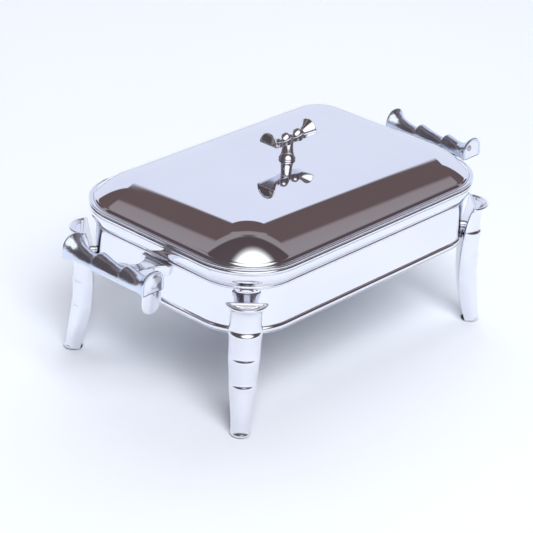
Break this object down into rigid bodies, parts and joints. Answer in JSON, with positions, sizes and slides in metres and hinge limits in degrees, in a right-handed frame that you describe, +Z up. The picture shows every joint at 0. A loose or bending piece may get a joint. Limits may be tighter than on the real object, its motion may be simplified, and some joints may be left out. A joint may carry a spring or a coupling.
{
  "type": "electric buffet server",
  "caption": "Rectangular electric food warmer with a domed lift-off lid, bamboo-shaped lid handle, side handles and legs, nested pans, and a rear thermostat.",
  "frame": {"origin": "on the table, midway between the feet, under the middle of the casing", "axes": "+X along the long side, +Y towards the rear wall with the controls, +Z up"},
  "size_m": [0.563, 0.284, 0.2612],
  "materials": {
    "polished_steel": "mirror polished stainless steel",
    "satin_steel": "satin",
    "plain_steel": "plain",
    "black_rubber": "matt",
    "element_sheath": "heat-darkened",
    "aluminium": "mill",
    "mineral_wool": "fibrous",
    "ceramic": "glazed",
    "brass": "turned",
    "black_plastic": "moulded",
    "red_lens": "translucent red",
    "wire_cover": "silicone sleeve"
  },
  "bodies": {
    "server": {"casing_wall": "polished_steel", "top_frame": "polished_steel", "base_moulding": "polished_steel", "base_plate": "plain_steel", "base_screws": "plain_steel", "leg_front_left": "polished_steel", "leg_front_right": "polished_steel", "leg_rear_left": "polished_steel", "leg_rear_right": "polished_steel", "foot_pads": "black_rubber", "corner_plates": "plain_steel", "leg_screws": "plain_steel", "side_handle_left": "polished_steel", "side_handle_right": "polished_steel", "handle_bracket_left": "polished_steel", "handle_bracket_right": "polished_steel", "handle_end_caps": "polished_steel", "handle_drop_plate": "polished_steel", "end_cap_screws": "plain_steel", "backing_plates": "plain_steel", "bracket_screws": "plain_steel", "bar_screws": "plain_steel", "heating_element": "element_sheath", "element_clamps": "plain_steel", "heat_spreader": "aluminium", "spreader_posts": "plain_steel", "reflector_tray": "aluminium", "insulation_pad": "mineral_wool", "thermostat_body": "ceramic", "thermostat_nut": "brass", "control_cup": "polished_steel", "sensor_bulb": "brass", "thermal_cutout": "black_plastic", "terminal_block": "ceramic", "power_inlet": "black_plastic", "inlet_screws": "plain_steel", "switch_housing": "black_plastic", "rocker_pin": "plain_steel", "pilot_lamp": "red_lens", "internal_wires": "wire_cover"},
    "lid": {"lid_cover": "polished_steel", "lid_handle_post": "polished_steel", "lid_handle_bar": "polished_steel", "lid_handle_screw": "plain_steel", "lid_handle_washer": "black_rubber"},
    "food_pan_body": {"food_pan": "satin_steel"},
    "water_pan_body": {"water_pan": "satin_steel"},
    "knob": {"thermostat_knob": "black_plastic", "thermostat_shaft": "brass"},
    "rocker": {"switch_rocker": "black_plastic"}
  },
  "joints": [
    {"name": "water_pan_lift", "type": "slide", "parent": "server", "child": "water_pan_body", "axis": [0, 0, 1], "range_m": [0, 0.12]},
    {"name": "food_pan_lift", "type": "slide", "parent": "water_pan_body", "child": "food_pan_body", "axis": [0, 0, 1], "range_m": [0, 0.12]},
    {"name": "lid_lift", "type": "slide", "parent": "food_pan_body", "child": "lid", "axis": [0, 0, 1], "range_m": [0, 0.12]},
    {"name": "knob_turn", "type": "hinge", "parent": "server", "child": "knob", "pos_m": [-0.12, 0.132, 0.1382], "axis": [0, -1, 0], "range_deg": [0, 270]},
    {"name": "rocker_tilt", "type": "hinge", "parent": "server", "child": "rocker", "pos_m": [-0.055, 0.1296, 0.1382], "axis": [1, 0, 0], "range_deg": [0, 16]}
  ]
}
